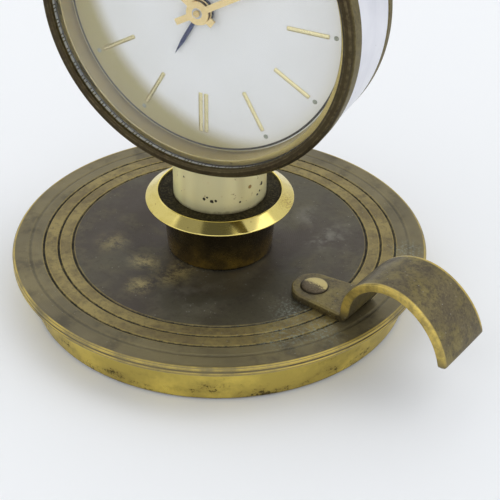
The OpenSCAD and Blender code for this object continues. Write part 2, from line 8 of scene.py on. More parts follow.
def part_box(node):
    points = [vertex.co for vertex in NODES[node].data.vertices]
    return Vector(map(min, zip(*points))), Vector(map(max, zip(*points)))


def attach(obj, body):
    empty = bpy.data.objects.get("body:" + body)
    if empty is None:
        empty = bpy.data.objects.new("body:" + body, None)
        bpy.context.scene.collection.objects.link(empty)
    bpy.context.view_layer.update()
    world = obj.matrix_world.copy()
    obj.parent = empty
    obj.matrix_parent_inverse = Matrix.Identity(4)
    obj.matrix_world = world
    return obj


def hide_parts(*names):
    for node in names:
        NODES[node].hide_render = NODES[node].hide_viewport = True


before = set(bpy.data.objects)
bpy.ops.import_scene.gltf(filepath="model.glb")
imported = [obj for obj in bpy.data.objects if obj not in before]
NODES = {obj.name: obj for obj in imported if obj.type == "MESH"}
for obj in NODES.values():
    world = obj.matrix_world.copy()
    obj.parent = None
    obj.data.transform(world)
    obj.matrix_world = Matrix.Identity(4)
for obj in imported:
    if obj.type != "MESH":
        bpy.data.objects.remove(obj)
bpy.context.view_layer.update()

MM = 0.001


# ---- places taken from the frame

def round_part(node):
    """Radius, back and front of a node that turns round the dial's axis."""
    low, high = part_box(node)
    return high.x, -high.y, -low.y


DISH_LOW, DISH_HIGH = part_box("base_plate")
DISH_R, DISH_TOP, DISH_UNDER = DISH_HIGH.x, DISH_HIGH.z, DISH_LOW.z
FOOT_LOW, FOOT_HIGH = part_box("foot_ring")
CUP_LOW, CUP_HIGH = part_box("candle_cup")
DISH_FLOOR = CUP_LOW.z
CUP_R, CUP_TOP = CUP_HIGH.x, CUP_HIGH.z
COLLAR_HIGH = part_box("drip_collar")[1]
COLLAR_R, COLLAR_TOP = COLLAR_HIGH.x, COLLAR_HIGH.z
TUBE_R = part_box("candle_tube")[1].x
DIAL_LOW, DIAL_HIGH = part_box("dial_plate")
HEAD_Z = (DIAL_LOW.z + DIAL_HIGH.z) / 2
PLATE_R, _, DIAL_FRONT = round_part("dial_plate")
BEZEL_R, BEZEL_BACK, BEZEL_FRONT = round_part("front_bezel")
CASE_R, CASE_BACK, _ = round_part("drum_case")
CRYSTAL_R, CRYSTAL_BACK, CRYSTAL_FRONT = round_part("crystal")
COVER_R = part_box("rear_cover")[1].x
RIM_BACK = -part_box("rear_rim")[1].y


# ---- sizes that the frame doesn't give

GROOVES = (35.6 * MM, 39.0 * MM, 42.5 * MM)
FAINT_GROOVE = 45.7 * MM
VERDIGRIS_R = 40 * MM
SLOPE_HIGH_R, SLOPE_LOW_R, SLOPE_STEPS = 26 * MM, 15.5 * MM, 12
CUP_LOW_R = CUP_R - 1.6 * MM
TUBE_GAP = 0.06 * MM
COLLAR_EDGE_Z = COLLAR_TOP - 1.95 * MM
COLLAR_FLAT_R = 15.0 * MM
COLLAR_STAIN = (16.5 * MM, 3.5 * MM, 6 * MM)
TURNING = 0.5 * MM
COVER_TURNING = 0.45 * MM
REHAUT_W = 1.5 * MM
DIAL_R = PLATE_R - REHAUT_W
DIAL_T = 0.6 * MM
CASE_WALL = 1.0 * MM
FLANGE_R, FLANGE_T = 33.0 * MM, 0.8 * MM
BAR_END_R, BAR_LENGTH, BAR_PAIR = 29.3 * MM, 9.5 * MM, 0.7 * MM
DOT_RING_R = 30.8 * MM
PIN_HOLE_R = 0.02 * MM

# Marks in millimetres, as (x, y, radius, strength) or (x, y, radius);
# on the tube as (angle, rise, radius)
RUBBED_SPOTS = ((-11.2, -17.0, 5.5, 0.8), (-7.0, -26.2, 5.0, 0.65), (-2.9, -19.5, 6.5, 0.7),
                (-2.4, -14.5, 5.0, 0.8), (-22.0, -14.0, 6.0, 0.35))
SMUDGES = ((22.2, 10.0, 7.0, 0.5), (15.4, 19.0, 6.0, 0.45), (25.0, 14.0, 10.0, 0.3),
           (5.0, -24.0, 12.0, 0.2))
CRUSTS = ((36.6, -22.3, 8.0), (28.1, -18.6, 7.0), (42.5, 15.7, 6.0), (30.0, -28.0, 8.0))
TUBE_PITS = ((-1.42, 3.4, 0.7), (-1.35, 3.9, 0.5), (-1.25, 3.0, 0.85), (-1.17, 3.2, 0.6), (-0.65, 2.3, 0.5),
             (-0.02, 4.5, 0.95), (-0.18, 2.4, 0.6), (-0.1, 3.0, 0.5), (-1.93, 7.5, 0.45))
TUBE_RUST = (-0.41, 5.6, 0.9)

# Broad painted light on the tube: a painted highlight at its front left and a darker painted reflection at
# its front, as (x, y, radius, strength, colour)
TUBE_PAINTED_LIGHT = ((-0.7 * TUBE_R, -0.72 * TUBE_R, 6.5 * MM, 0.9, (1.0, 0.95, 0.5)),
               (0.25 * TUBE_R, -0.96 * TUBE_R, 7.0 * MM, 0.6, (0.6, 0.56, 0.33)))

# Colours that several looks share
DUST = (0.42, 0.41, 0.36)


# ---- shapes

def soften(corners, steps, guard=0.15 * MM):
    """Rounds the corners of an outline of (r, z, radius).

    It gives (r, z, wear), where wear is up to 1 on outer bends and down to -1 in inner ones.
    """
    outline = []
    count = len(corners)
    for i, (r, z, radius) in enumerate(corners):
        here = Vector((r, z))
        before = Vector(corners[i - 1][:2]) - here
        after = Vector(corners[(i + 1) % count][:2]) - here
        if radius <= 0 or before.length == 0 or after.length == 0:
            outline.append((r, z, 0.0))
            continue
        a, b = before.normalized(), after.normalized()
        turn = math.pi - a.angle(b)
        if turn < 0.02:
            outline.append((r, z, 0.0))
            continue
        reach = min(radius * math.tan(turn / 2), 0.45 * before.length, 0.45 * after.length)
        round_r = reach / math.tan(turn / 2)
        centre = here + (a + b).normalized() * (round_r / math.cos(turn / 2))
        outer = 1.0 if (-a).cross(b) > 0 else -1.0
        wear = outer * min(1.0, turn / 0.7)
        start, end = here + a * reach - centre, here + b * reach - centre
        swing = start.angle_signed(end)
        if before.length > 3 * reach + guard:
            outline.append((*(here + a * (reach + guard)), 0.0))
        for k in range(steps + 1):
            spoke = start.copy()
            spoke.rotate(Matrix.Rotation(-swing * k / steps, 2))
            outline.append((*(centre + spoke), wear))
        if after.length > 3 * reach + guard:
            outline.append((*(here + b * (reach + guard)), 0.0))
    return outline


def piece(name, points, faces, wear, body, slot, material, smooth=38):
    """A mesh object that rides on a body."""
    mesh = bpy.data.meshes.new(name)
    mesh.from_pydata(points, [], faces)
    mesh.validate()
    mask = mesh.attributes.new("wear", "FLOAT", "POINT")
    mask.data.foreach_set("value", wear)
    mesh.shade_smooth()
    mesh.set_sharp_from_angle(angle=math.radians(smooth))
    mesh.materials.append(material)
    thing = bpy.data.objects.new(name, mesh)
    bpy.context.scene.collection.objects.link(thing)
    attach(thing, body)
    return thing


def inside_out(points, faces):
    """True if the four-sided faces of a closed mesh point inwards: its signed volume is negative."""
    volume = 0.0
    for face in faces:
        a, b, c, d = (Vector(points[i]) for i in face)
        volume += a.dot(b.cross(c)) + a.dot(c.cross(d))
    return volume < 0


def turned_over(faces):
    return [tuple(reversed(face)) for face in faces]


def on_column(x, y, z):
    """A point given from the column's axis, z above the table."""
    return (x, y, z)


def on_head(x, y, z):
    """A point given from the front of the dial: x right, y up, z towards the viewer."""
    return (x, -z, HEAD_Z + y)


def sweep(outline, sides, place):
    """Points, faces and wear of a closed outline (r, z, wear) swept round the axis of a place function."""
    points, faces, wear = [], [], []
    count = len(outline)
    for i in range(sides):
        angle = 2 * math.pi * i / sides
        for r, z, worn in outline:
            points.append(place(r * math.cos(angle), r * math.sin(angle), z))
            wear.append(worn)
    for i in range(sides):
        j = (i + 1) % sides
        for k in range(count):
            m = (k + 1) % count
            faces.append((i * count + k, j * count + k, j * count + m, i * count + m))
    return points, turned_over(faces) if inside_out(points, faces) else faces, wear


def lathe(name, corners, body, slot, material, place=on_column, sides=256, steps=6, smooth=38):
    """A turned piece from its outline (r, z, radius), counter-clockwise in (r, z)."""
    return piece(name, *sweep(soften(corners, steps), sides, place), body, slot, material, smooth)


def skin(start, rings, count):
    """Faces over a row of rings of points: the sides, then both ends. start is the first point's index."""
    faces = []
    for i in range(rings - 1):
        near = start + i * count
        for k in range(count):
            m = (k + 1) % count
            faces.append((near + k, near + m, near + count + m, near + count + k))
    last = start + (rings - 1) * count
    faces.append(tuple(start + k for k in reversed(range(count))))
    faces.append(tuple(last + k for k in range(count)))
    return faces


def loft(name, rings, wear, body, slot, material, smooth):
    """A closed skin over a row of rings that all have the same number of points."""
    points = [point for ring in rings for point in ring]
    faces = skin(0, len(rings), len(rings[0]))
    sides = faces[:-2]
    return piece(name, points, turned_over(faces) if inside_out(points, sides) else faces, wear, body, slot,
                 material, smooth)


# ---- materials

class Look:
    """A node material, built up with short calls. Lengths in it are metres of the object."""

    def __init__(self, name, metallic, roughness=0.4):
        self.material = bpy.data.materials.new(name)
        self.material.use_nodes = True
        self.tree = self.material.node_tree
        self.shader = self.tree.nodes["Principled BSDF"]
        self.shader.inputs["Metallic"].default_value = metallic
        self.shader.inputs["Roughness"].default_value = roughness
        self.place = self.add("TexCoord").outputs["Object"]

    def add(self, kind, settings=None, **inputs):
        made = self.tree.nodes.new("ShaderNode" + kind)
        for key, value in (settings or {}).items():
            setattr(made, key, value)
        for key, value in inputs.items():
            self.feed(made.inputs[key.replace("_", " ")], value)
        return made

    def feed(self, socket, value):
        if isinstance(value, bpy.types.NodeSocket):
            self.tree.links.new(value, socket)
        elif isinstance(value, (tuple, list)) and len(value) == 3 and socket.type == "RGBA":
            socket.default_value = (*value, 1)
        else:
            socket.default_value = value

    def set(self, name, value):
        self.feed(self.shader.inputs[name], value)

    def math(self, operation, a, b=0.0, clamp=False):
        made = self.add("Math", {"operation": operation, "use_clamp": clamp})
        self.feed(made.inputs[0], a)
        self.feed(made.inputs[1], b)
        return made.outputs[0]

    def plus(self, a, b, clamp=False):
        return self.math("ADD", a, b, clamp)

    def minus(self, a, b):
        return self.math("SUBTRACT", a, b)

    def times(self, a, b, clamp=False):
        return self.math("MULTIPLY", a, b, clamp)

    def most(self, a, b):
        return self.math("MAXIMUM", a, b)

    def apart(self, a, b):
        """How far two values are apart."""
        return self.math("ABSOLUTE", self.minus(a, b))

    def length(self, *parts):
        squares = self.times(parts[0], parts[0])
        for part in parts[1:]:
            squares = self.plus(squares, self.times(part, part))
        return self.math("SQRT", squares)

    def stretch(self, scale, shift=(0, 0, 0)):
        return self.add("Mapping", Vector=self.place, Scale=scale, Location=shift).outputs[0]

    def noise(self, size, detail=4, rough=0.55, vector=None):
        """Smooth noise, with features about as large as size."""
        return self.add("TexNoise", Vector=vector or self.place, Scale=1 / size, Detail=detail,
                        Roughness=rough).outputs["Fac"]

    def step(self, value, low, high, to_low=0.0, to_high=1.0):
        """A smooth step from one share at the low value to another at the high value."""
        made = self.add("MapRange", {"interpolation_type": "SMOOTHSTEP"})
        for socket, given in zip(made.inputs, (value, low, high, to_low, to_high)):
            self.feed(socket, given)
        return made.outputs[0]

    def fade(self, value, low, high, most=1.0):
        """From most, up to the low value, down to 0 at the high value."""
        return self.step(value, low, high, most, 0.0)

    def blend(self, share, a, b):
        made = self.add("Mix", {"data_type": "RGBA"})
        self.feed(made.inputs["Factor"], share)
        self.feed(made.inputs["A"], a)
        self.feed(made.inputs["B"], b)
        return next(o for o in made.outputs if o.type == "RGBA")

    def start(self, value, low, high, a, b):
        """The first tone: a up to the low value, b from the high one."""
        self.tone = self.blend(self.step(value, low, high), a, b)

    def lay(self, share, colour):
        """Lays a colour over the tone so far."""
        self.tone = self.blend(share, self.tone, colour)

    def axis(self, name):
        return self.add("SeparateXYZ", Vector=self.place).outputs[name]

    def from_axis(self, centre_z=None):
        """Distance from the column's axis, or from the dial's axis."""
        other = self.axis("Y") if centre_z is None else self.minus(self.axis("Z"), centre_z)
        return self.length(self.axis("X"), other)

    def spot(self, x, y, radius, z=None):
        """1 at a place, fading to 0 at the radius. Without a z it is a column, seen from above."""
        parts = [self.minus(self.axis("X"), x), self.minus(self.axis("Y"), y)]
        if z is not None:
            parts.append(self.minus(self.axis("Z"), z))
        return self.fade(self.length(*parts), 0.0, radius)

    def worn(self):
        """The wear that the mesh carries: 1 on outer bends, -1 in inner ones."""
        return self.add("Attribute", {"attribute_name": "wear"}).outputs["Fac"]

    def specks(self, size, share, dot):
        """Small round dots: cells of a size, a share of which has a dot of that part of the cell."""
        cells = self.add("TexVoronoi", Vector=self.place, Scale=1 / size)
        chosen = self.step(cells.outputs["Color"], 1 - share, 1 - share + 0.02)
        near = self.fade(cells.outputs["Distance"], dot * 0.6, dot)
        return self.times(chosen, near)

    def bump(self, height, depth, strength):
        made = self.add("Bump", Height=height, Distance=depth, Strength=strength)
        self.set("Normal", made.outputs[0])

    def finish(self, roughness, height, depth, strength):
        """Sets the tone, the roughness and a bump of a depth, and gives the material."""
        self.set("Base Color", self.tone)
        self.set("Roughness", roughness)
        self.bump(height, depth, strength)
        return self.material


def metal(name, colour, shade, roughness, grain, pitting=0.01 * MM, tarnish=0.5):
    """Metal in two blended tones, with uneven gloss and fine pits."""
    look = Look(name, 1.0)
    cloud = look.step(look.noise(grain * 3, 5, 0.6), 0.35, 0.65)
    fine = look.noise(grain * 0.25, 4, 0.6)
    mixed = look.times(look.plus(look.times(cloud, 0.6), look.times(fine, 0.6)), tarnish * 1.6, clamp=True)
    look.tone = look.blend(mixed, colour, shade)
    gloss = look.step(fine, 0.25, 0.75, roughness * 0.75, roughness * 1.3)
    return look.finish(gloss, look.noise(grain * 0.12, 3, 0.6), pitting, 0.6)


def dish_metal():
    """Antique patina: brown middle, olive bands, rough dark grooves with verdigris, rubbed rim, dust."""
    look = Look("antiqued_dish_brass", 0.62)
    radius = look.from_axis()
    cloud = look.noise(24 * MM, 5, 0.6)
    blotch = look.noise(7 * MM, 5, 0.65)
    fine = look.noise(1.1 * MM, 4, 0.65)
    grit = look.noise(0.35 * MM, 3, 0.7)
    turned = look.math("SINE", look.times(radius, 2 * math.pi / TURNING))

    brown = look.blend(look.step(cloud, 0.4, 0.62), (0.062, 0.049, 0.037), (0.086, 0.076, 0.049))
    brown = look.blend(look.step(blotch, 0.45, 0.72, 0.0, 0.75), brown, (0.125, 0.108, 0.066))
    brown = look.blend(look.step(fine, 0.5, 0.7, 0.0, 0.4), brown, (0.05, 0.038, 0.026))
    olive = look.blend(look.step(blotch, 0.35, 0.65), (0.27, 0.21, 0.072), (0.17, 0.13, 0.055))
    olive = look.blend(look.step(fine, 0.48, 0.68, 0.0, 0.45), olive, (0.07, 0.055, 0.03))
    outer = look.blend(look.step(cloud, 0.38, 0.62), (0.135, 0.113, 0.062), (0.19, 0.157, 0.078))
    outer = look.blend(look.step(blotch, 0.5, 0.7, 0.0, 0.6), outer, (0.065, 0.055, 0.038))
    look.tone = look.blend(look.step(radius, GROOVES[0] - 0.4 * MM, GROOVES[0] + 0.3 * MM), brown, olive)
    look.lay(look.step(radius, GROOVES[2] - 0.3 * MM, GROOVES[2] + 0.6 * MM), outer)

    # rubbed patches near the cup, and pale smudges beside it
    smear = look.plus(look.times(look.noise(2.6 * MM, 5, 0.75), 0.7), look.times(grit, 0.3))
    for x, y, size, strength in RUBBED_SPOTS:
        rubbed = look.times(look.spot(x * MM, y * MM, size * MM), look.step(smear, 0.4, 0.6))
        look.lay(look.times(rubbed, strength), (0.44, 0.36, 0.15))
    for x, y, size, strength in SMUDGES:
        smudge = look.times(look.spot(x * MM, y * MM, size * MM), look.step(blotch, 0.42, 0.62))
        look.lay(look.times(smudge, strength), (0.24, 0.23, 0.2))

    # worn edges
    worn = look.worn()
    bright = look.times(look.step(worn, 0.1, 0.8), look.step(blotch, 0.3, 0.62, 0.1, 0.75))
    rim = look.step(radius, DISH_R - 1.0 * MM, DISH_R - 0.4 * MM, 0.3, 1.0)
    bright = look.times(bright, rim)
    look.lay(bright, (0.62, 0.46, 0.1))

    # grooves: a ragged dark line, with verdigris in places
    ragged = look.times(look.minus(look.noise(0.9 * MM, 4, 0.7), 0.5), 0.7 * MM)
    groove = 0.0
    for g, depth in (*((g, 1.0) for g in GROOVES), (FAINT_GROOVE, 0.35)):
        away = look.plus(look.apart(radius, g), ragged)
        groove = look.most(groove, look.fade(away, 0.08 * MM, 0.42 * MM, depth))
    dirt = look.times(groove, look.step(look.noise(3 * MM, 3), 0.3, 0.55, 0.5, 1.0))
    look.lay(dirt, (0.014, 0.013, 0.009))
    band = look.fade(look.apart(radius, VERDIGRIS_R), 3.0 * MM, 7.5 * MM)
    green = look.times(band, look.step(look.noise(0.6 * MM, 4, 0.75), 0.6, 0.7))
    green = look.times(green, look.step(cloud, 0.42, 0.6, 0.1, 0.7))
    look.lay(green, (0.12, 0.165, 0.135))

    for x, y, size in CRUSTS:
        rough = look.step(look.noise(0.7 * MM, 5, 0.8), 0.5, 0.6)
        crust = look.times(look.spot(x * MM, y * MM, size * MM), rough)
        look.lay(look.times(crust, 0.75), (0.24, 0.27, 0.22))

    # dust
    dust = look.times(look.specks(1.1 * MM, 0.4, 0.17), look.step(blotch, 0.4, 0.6))
    dust = look.most(dust, look.specks(0.6 * MM, 0.1, 0.2))
    look.lay(look.times(dust, 0.45), DUST)

    gloss = look.plus(look.step(blotch, 0.3, 0.7, 0.36, 0.5), look.times(fine, 0.08))
    gloss = look.minus(gloss, look.times(bright, 0.14))
    gloss = look.plus(gloss, look.times(dust, 0.3), clamp=True)
    height = look.plus(look.times(fine, 0.6), look.times(grit, 0.4))
    height = look.plus(height, look.times(turned, 0.1))
    return look.finish(gloss, look.plus(height, look.times(dust, 0.8)), 0.045 * MM, 0.8)


def foot_metal():
    """Old polished brass, with fine brown spots that gather near the table."""
    look = Look("spotted_foot_brass", 0.85)
    height = look.axis("Z")
    cloud = look.noise(14 * MM, 5, 0.6)
    patches = look.noise(9 * MM, 4, 0.6, look.stretch((1, 1, 2.2), (0.02, 0, 0)))
    fine = look.noise(0.8 * MM, 5, 0.75)
    look.start(cloud, 0.4, 0.62, (0.7, 0.55, 0.12), (0.5, 0.39, 0.09))
    low = look.fade(height, 1.0 * MM, 9.5 * MM)
    gather = look.plus(look.times(patches, 0.55), look.times(low, 0.11))
    film = look.step(look.plus(gather, look.times(fine, 0.2)), 0.44, 0.6)
    look.lay(look.times(film, 0.55), (0.2, 0.145, 0.045))
    spots = look.step(look.plus(gather, look.times(fine, 0.42)), 0.645, 0.7)
    look.lay(look.times(spots, 0.85), (0.05, 0.034, 0.014))
    look.lay(look.step(height, 9.2 * MM, 10.1 * MM, 0.0, 0.7), (0.09, 0.065, 0.025))
    look.lay(look.fade(height, 0.4 * MM, 1.0 * MM, 0.7), (0.08, 0.055, 0.02))
    gloss = look.plus(look.step(cloud, 0.3, 0.7, 0.26, 0.36), look.times(spots, 0.25))
    return look.finish(gloss, fine, 0.025 * MM, 0.7)


def strip_metal():
    """Brown-olive face of the finger strip; its edges are bright on the arch and grimy at the root."""
    look = Look("finger_strip_brass", 0.7)
    cloud = look.noise(9 * MM, 5, 0.6)
    blotch = look.noise(3.2 * MM, 5, 0.7)
    fine = look.noise(0.6 * MM, 4, 0.7)
    height = look.axis("Z")
    look.start(cloud, 0.38, 0.62, (0.125, 0.1, 0.054), (0.2, 0.16, 0.056))
    look.lay(look.step(blotch, 0.46, 0.68, 0.0, 0.8), (0.085, 0.068, 0.045))
    look.lay(look.step(fine, 0.5, 0.72, 0.0, 0.6), (0.22, 0.18, 0.08))
    look.lay(look.fade(fine, 0.36, 0.46, 0.5), (0.05, 0.04, 0.026))
    worn = look.worn()
    arch = look.step(height, DISH_TOP + 1.6 * MM, DISH_TOP + 5.0 * MM, 0.08, 1.0)
    edge = look.times(look.step(worn, 0.15, 0.8), look.step(blotch, 0.35, 0.6, 0.4, 0.95))
    edge = look.times(edge, arch)
    look.lay(edge, (0.62, 0.46, 0.11))
    grime = look.fade(height, DISH_TOP + 0.8 * MM, DISH_TOP + 2.4 * MM, 0.8)
    grime = look.times(grime, look.step(fine, 0.3, 0.6, 1.0, 0.4))
    look.lay(grime, (0.03, 0.022, 0.012))
    look.lay(look.times(look.specks(0.9 * MM, 0.3, 0.17), 0.5), DUST)
    gloss = look.minus(look.step(blotch, 0.3, 0.7, 0.34, 0.48), look.times(edge, 0.1))
    return look.finish(gloss, fine, 0.045 * MM, 0.8)


def rivet_metal():
    """The rivet's dome is brown, with a painted highlight on its back side."""
    look = Look("rivet_brass", 0.95)
    fine = look.noise(0.5 * MM, 4, 0.75)
    x, y, _ = on_strip(*RIVET, 0)
    across = look.plus(look.times(look.minus(look.axis("X"), x), 0.22),
                       look.times(look.minus(look.axis("Y"), y), 0.98))
    rubbed = look.plus(across, look.times(look.minus(fine, 0.5), 4 * MM))
    look.start(fine, 0.4, 0.65, (0.11, 0.085, 0.054), (0.17, 0.138, 0.09))
    # Painted highlight: the dome's back side is painted bright.
    look.lay(look.step(rubbed, -0.5 * MM, 0.9 * MM, 0.0, 0.95), (0.56, 0.46, 0.2))
    look.lay(look.minus(1.0, look.step(look.spot(x, y, 3.3 * MM), 0.0, 0.06)), (0.03, 0.024, 0.015))
    return look.finish(look.step(fine, 0.3, 0.7, 0.3, 0.46), fine, 0.06 * MM, 0.8)


def collar_metal():
    """Mirror-polished bevel, and a dark dusty flat round the tube."""
    look = Look("polished_collar_brass", 1.0)
    radius = look.from_axis()
    height = look.axis("Z")
    cloud = look.noise(5 * MM, 5, 0.6)
    grit = look.noise(0.4 * MM, 4, 0.7)
    look.start(cloud, 0.45, 0.7, (0.74, 0.61, 0.2), (0.66, 0.53, 0.15))
    look.lay(look.step(look.noise(1.1 * MM, 4, 0.7), 0.62, 0.74, 0.0, 0.8), (0.26, 0.17, 0.06))
    soiled = look.times(look.spot(*COLLAR_STAIN), look.step(grit, 0.42, 0.6))
    look.lay(look.times(soiled, 0.55), (0.3, 0.2, 0.09))
    flat = look.times(look.fade(radius, COLLAR_FLAT_R - 0.5 * MM, COLLAR_FLAT_R - 0.25 * MM),
                      look.step(height, COLLAR_TOP - 0.9 * MM, COLLAR_TOP - 0.6 * MM))
    dusty = look.blend(look.step(grit, 0.45, 0.65), (0.022, 0.018, 0.009), (0.085, 0.072, 0.036))
    look.lay(flat, dusty)
    under = look.fade(height, COLLAR_EDGE_Z - 0.3 * MM, COLLAR_EDGE_Z - 0.05 * MM)
    look.lay(under, (0.08, 0.055, 0.02))
    gloss = look.plus(look.step(cloud, 0.35, 0.7, 0.07, 0.16), look.times(flat, 0.55))
    return look.finish(gloss, look.times(grit, flat), 0.06 * MM, 0.8)


def cup_metal():
    """Nearly black lacquered brass, warmer towards its foot."""
    look = Look("dark_cup_brass", 0.85)
    height = look.axis("Z")
    cloud = look.noise(6 * MM, 5, 0.6)
    low = look.fade(height, DISH_FLOOR, DISH_FLOOR + 8 * MM)
    look.start(cloud, 0.35, 0.65, (0.045, 0.032, 0.014), (0.07, 0.05, 0.018))
    look.lay(look.times(low, look.step(cloud, 0.4, 0.65, 0.25, 0.9)), (0.3, 0.19, 0.03))
    look.lay(look.fade(height, DISH_FLOOR + 0.15 * MM, DISH_FLOOR + 0.5 * MM, 0.9), (0.008, 0.007, 0.005))
    look.set("Coat Weight", 0.25)
    look.set("Coat Roughness", 0.25)
    gloss = look.step(look.noise(2 * MM, 4), 0.3, 0.7, 0.2, 0.34)
    return look.finish(gloss, look.noise(0.8 * MM, 3), 0.015 * MM, 0.6)


def spot_on_tube(look, angle, rise, size):
    """A mark at an angle round the tube and a rise above the collar, in millimetres."""
    return look.spot(TUBE_R * math.cos(angle), TUBE_R * math.sin(angle), size * MM, COLLAR_TOP + rise * MM)


def tube_metal():
    """Pale gilding worn to silver, with corroded pits low down and a dirty foot."""
    look = Look("pale_gilt_tube", 0.5)
    height = look.axis("Z")
    cloud = look.noise(7 * MM, 4, 0.5, look.stretch((1, 1, 0.25)))
    look.start(cloud, 0.35, 0.65, (0.84, 0.78, 0.45), (0.78, 0.69, 0.36))
    streaks = look.noise(11 * MM, 3, 0.5, look.stretch((1, 1, 0.2), (3, 1, 0)))
    look.lay(look.step(streaks, 0.55, 0.7, 0.0, 0.55), (0.82, 0.6, 0.42))
    # Painted highlight and painted reflection on the tube's front
    for x, y, size, strength, shade in TUBE_PAINTED_LIGHT:
        painted_light_patch = look.step(look.spot(x, y, size), 0.1, 0.75, 0.0, strength)
        look.lay(painted_light_patch, shade)
    pits = look.step(look.noise(1.7 * MM, 5, 0.7), 0.655, 0.69)
    pits = look.times(pits, look.step(height, COLLAR_TOP + 1 * MM, COLLAR_TOP + 8 * MM, 1.0, 0.75))
    for angle, rise, size in TUBE_PITS:
        pit = spot_on_tube(look, angle, rise, size)
        ragged = look.times(look.minus(look.noise(0.5 * MM, 3), 0.5), 0.9)
        pits = look.most(pits, look.step(look.plus(pit, ragged), 0.4, 0.55))
    look.lay(look.step(spot_on_tube(look, *TUBE_RUST), 0.3, 0.6, 0.0, 0.9), (0.3, 0.17, 0.04))
    halo = look.step(look.noise(1.7 * MM, 5, 0.7), 0.61, 0.66)
    look.lay(look.times(halo, 0.35), (0.5, 0.3, 0.1))
    look.lay(pits, (0.035, 0.028, 0.015))
    uneven = look.plus(height, look.times(look.noise(1.5 * MM, 3), 1.2 * MM))
    foot = look.fade(uneven, COLLAR_TOP + 0.1 * MM, COLLAR_TOP + 1.1 * MM, 0.75)
    look.lay(foot, (0.16, 0.13, 0.07))
    gloss = look.step(cloud, 0.3, 0.7, 0.27, 0.36)
    gloss = look.plus(gloss, look.times(pits, 0.4), clamp=True)
    return look.finish(gloss, look.minus(1.0, pits), 0.12 * MM, 0.8)


def bezel_metal(name):
    """Dark brown patina on the bezel's face, rubbed olive and gold on its side."""
    look = Look(name, 0.9)
    cloud = look.noise(8 * MM, 5, 0.6)
    fine = look.noise(0.9 * MM, 4, 0.7)
    depth = look.times(look.axis("Y"), -1.0)
    look.start(cloud, 0.35, 0.65, (0.042, 0.03, 0.015), (0.062, 0.048, 0.022))
    look.lay(look.step(fine, 0.5, 0.7, 0.0, 0.5), (0.1, 0.07, 0.035))
    side = look.fade(depth, BEZEL_FRONT - 1.5 * MM, BEZEL_FRONT - 0.6 * MM)
    look.lay(look.times(side, look.step(fine, 0.3, 0.6, 0.35, 0.9)), (0.17, 0.135, 0.045))
    worn = look.worn()
    edge = look.times(look.step(worn, 0.1, 0.8), look.step(fine, 0.35, 0.65, 0.0, 0.35))
    look.lay(edge, (0.2, 0.16, 0.08))
    look.lay(look.step(worn, -0.1, -0.8, 0.0, 0.7), (0.025, 0.02, 0.012))
    look.lay(look.times(look.specks(0.8 * MM, 0.3, 0.14), 0.4), (0.4, 0.38, 0.32))
    return look.finish(look.step(cloud, 0.3, 0.7, 0.42, 0.56), fine, 0.03 * MM, 0.6)


def drum_metal():
    """Satin silver plate, brushed round the drum."""
    look = Look("brushed_drum_silver", 1.0)
    lines = look.noise(0.5 * MM, 3, 0.6, look.stretch((0.06, 1.6, 0.06)))
    cloud = look.noise(16 * MM, 4, 0.5)
    look.start(cloud, 0.35, 0.65, (0.8, 0.8, 0.84), (0.7, 0.7, 0.75))
    look.lay(look.step(look.worn(), 0.2, 0.9), (0.8, 0.8, 0.8))
    look.lay(look.specks(1.6 * MM, 0.15, 0.12), (0.25, 0.24, 0.22))
    return look.finish(look.step(lines, 0.3, 0.7, 0.28, 0.4), lines, 0.006 * MM, 0.5)


def cover_metal():
    """Silver-plated rear cover with a fine turned finish."""
    look = Look("turned_cover_silver", 1.0)
    radius = look.from_axis(HEAD_Z)
    rings = look.math("SINE", look.times(radius, 2 * math.pi / COVER_TURNING))
    cloud = look.noise(12 * MM, 4, 0.6)
    look.start(cloud, 0.35, 0.65, (0.58, 0.58, 0.6), (0.47, 0.46, 0.45))
    look.lay(look.specks(1.8 * MM, 0.2, 0.12), (0.2, 0.18, 0.15))
    return look.finish(look.step(cloud, 0.3, 0.7, 0.26, 0.38), rings, 0.004 * MM, 0.5)


def dial_face():
    """Silvery white dial with a fine dark line at its edge and a few specks."""
    look = Look("silvery_dial", 0.05)
    radius = look.from_axis(HEAD_Z)
    cloud = look.noise(20 * MM, 4, 0.5)
    grain = look.noise(0.25 * MM, 2)
    look.start(cloud, 0.35, 0.65, (0.92, 0.92, 0.92), (0.88, 0.88, 0.87))
    line = look.fade(look.apart(radius, DIAL_R - 0.45 * MM), 0.18 * MM, 0.32 * MM)
    # Painted shadow and painted reflection of the gilt wall: a yellowish tint round the dial's edge,
    # stronger towards the lower left.
    below = look.minus(look.axis("Z"), HEAD_Z)
    lower_left = look.plus(look.times(look.axis("X"), -0.35), look.times(below, -0.3))
    painted_shadow_and_reflection = look.step(look.plus(radius, lower_left), 33.5 * MM, 41.0 * MM, 0.0, 1.0)
    look.lay(look.step(radius, DIAL_R - 4.0 * MM, DIAL_R, 0.0, 0.25), (0.76, 0.72, 0.54))
    look.lay(look.times(painted_shadow_and_reflection, 0.95), (0.42, 0.36, 0.14))
    look.lay(line, (0.03, 0.022, 0.012))
    look.lay(look.specks(2.2 * MM, 0.3, 0.12), (0.14, 0.14, 0.15))
    look.lay(look.specks(1.1 * MM, 0.16, 0.12), (0.4, 0.4, 0.38))
    look.set("Specular IOR Level", 0.2)
    return look.finish(look.step(grain, 0.3, 0.7, 0.46, 0.56), grain, 0.004 * MM, 0.4)


def glass():
    """Clear crystal: it lets light through and shines at a glancing angle."""
    look = Look("clear_crystal", 0.0, 0.03)
    look.set("Base Color", (0.95, 0.97, 0.97))
    fresnel = look.add("Fresnel", IOR=1.45).outputs[0]
    look.set("Alpha", look.step(fresnel, 0.03, 0.9, 0.035, 0.8))
    look.set("Specular IOR Level", 0.5)
    look.bump(look.noise(14 * MM, 2), 0.004 * MM, 0.15)
    return look.material


